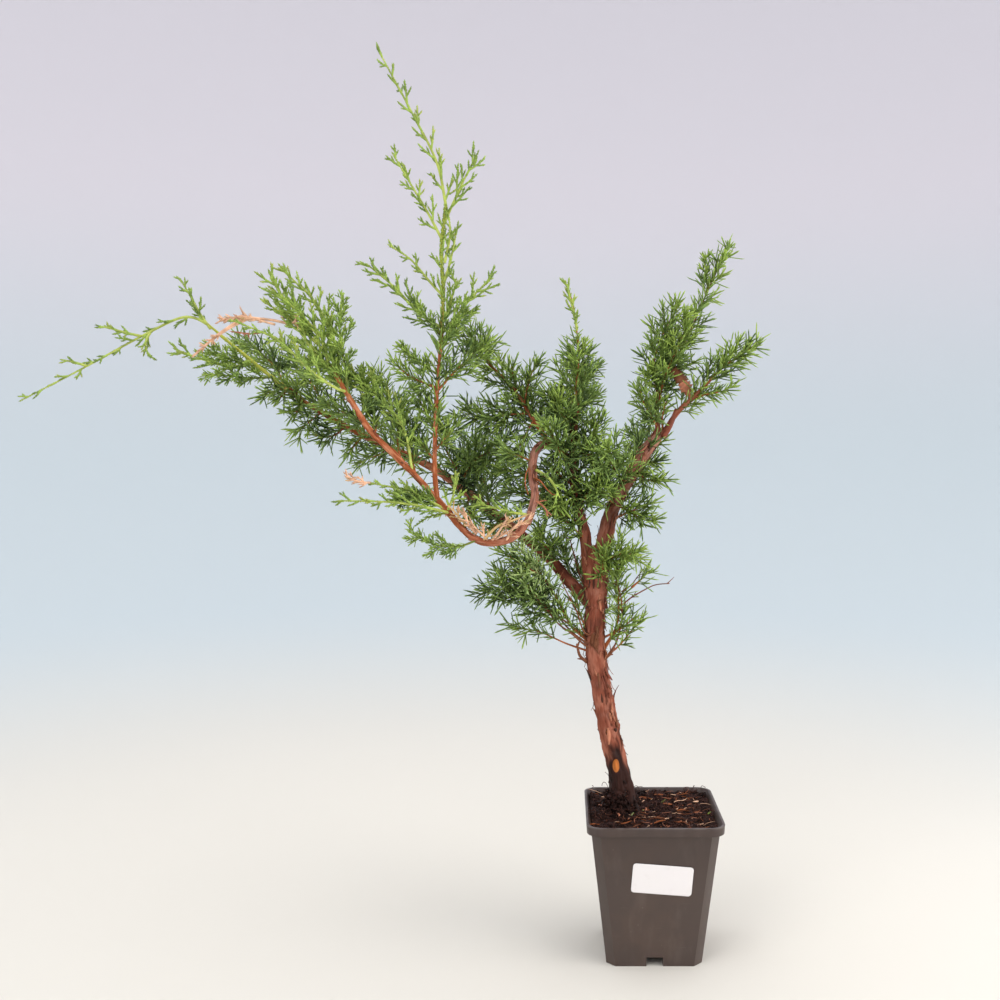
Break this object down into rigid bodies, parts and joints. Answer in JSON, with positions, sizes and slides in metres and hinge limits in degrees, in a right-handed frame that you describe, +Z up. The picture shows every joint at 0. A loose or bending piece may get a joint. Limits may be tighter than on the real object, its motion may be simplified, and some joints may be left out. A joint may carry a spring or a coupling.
{
  "type": "kishu juniper bonsai",
  "caption": "Young unstyled kishu juniper with a leaning trunk, a long bent bough to the left and open tufts of needles, rooted in a square tapered nursery pot.",
  "frame": {"origin": "middle of the underside of the bounding box, on the surface that the pot stands on", "axes": "+Z up along the height, +Y away from the viewer through the crown's depth, +X to the viewer's right"},
  "size_m": [0.5188, 0.1564, 0.6207],
  "materials": {
    "pot_plastic": "satin dark taupe-grey plastic",
    "compost": "moist dark compost with bark chips",
    "label_paper": "blank white sticker",
    "bark": "red-brown bark that peels in strips",
    "needles": "mid green juvenile needles",
    "blue_needles": "blue-green juvenile needles",
    "young_shoots": "yellow-green scale-like young shoots",
    "dry_shoots": "dry salmon-brown shoots"
  },
  "bodies": {
    "root": {"pot": "pot_plastic", "compost": "compost", "label": "label_paper", "trunk": "bark", "left_leader": "bark", "right_leader": "bark", "top_right_bough": "bark", "right_bough": "bark", "back_bough": "bark", "front_bough_drop": "bark", "front_bough_rise": "bark", "shoot": "bark", "mid_bough": "bark", "whip": "young_shoots", "whip_side": "young_shoots", "left_low_outer": "young_shoots", "left_low_inner": "needles", "left_far": "needles", "under_outer": "needles", "under_inner": "needles", "over_outer": "needles", "over_inner": "needles", "front_crown_left": "young_shoots", "front_crown_top": "young_shoots", "front_crown_right": "needles", "front_crown_low": "young_shoots", "front_inner": "young_shoots", "front_low_dry": "dry_shoots", "front_low_green": "young_shoots", "front_low_tuft": "needles", "shoot_top": "young_shoots", "shoot_right_high": "young_shoots", "shoot_left_high": "young_shoots", "shoot_left_mid": "young_shoots", "shoot_left_long": "young_shoots", "shoot_right_mid": "young_shoots", "shoot_left_low": "needles", "shoot_right_low": "needles", "mid_left_tip": "needles", "mid_left_up": "needles", "mid_left_low": "needles", "spire": "needles", "spire_left": "needles", "spire_right": "needles", "spire_back": "needles", "centre_low": "needles", "right_front": "needles", "right_side": "needles", "right_low": "needles", "right_back": "needles", "top_right_tip": "needles", "top_right_left": "needles", "right_tip": "needles", "low_left": "blue_needles", "low_left_under": "blue_needles", "low_right": "needles", "low_right_under": "needles", "low_back": "blue_needles", "back_inner": "needles", "back_far": "needles"}
  },
  "joints": []
}
